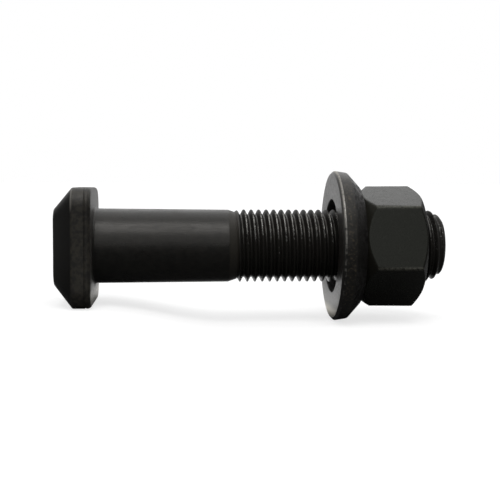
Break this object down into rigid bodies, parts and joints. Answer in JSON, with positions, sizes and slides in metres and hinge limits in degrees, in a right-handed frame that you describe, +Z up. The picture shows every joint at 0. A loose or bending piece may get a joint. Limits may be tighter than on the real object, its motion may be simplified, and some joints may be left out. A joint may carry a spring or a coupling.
{
  "type": "wheel bolt",
  "caption": "Square head bolt with a coarse right-hand thread, a hexagon nut and a captive cone-backed thrust washer that follows the nut.",
  "frame": {"origin": "on the bolt's axis, halfway along its length", "axes": "+X along the bolt from its head to its tip, +Z up as it lies on a side of its square head, -Y towards the viewer"},
  "size_m": [0.1178, 0.0462, 0.0462],
  "materials": {
    "bolt_steel": "black phosphated and oiled forging, smooth drawn shank",
    "nut_steel": "dark grey phosphated and oiled",
    "washer_steel": "dark grey phosphated, turned thrust face"
  },
  "bodies": {
    "bolt": {"square_head_bolt": "bolt_steel"},
    "washer": {"thrust_washer": "washer_steel"},
    "nut": {"hex_nut": "nut_steel"}
  },
  "joints": [
    {"name": "washer_slide", "type": "slide", "parent": "bolt", "child": "washer", "axis": [1, 0, 0], "range_m": [-0.02772, 0.02772]},
    {"name": "nut_turn", "type": "hinge", "parent": "washer", "child": "nut", "pos_m": [0.042, 0, 0], "axis": [1, 0, 0], "range_deg": [-4320, 4320]}
  ],
  "couplings": [
    {"joint": "washer_slide", "follows": "nut_turn", "m_per_rad": 0.0003675}
  ]
}
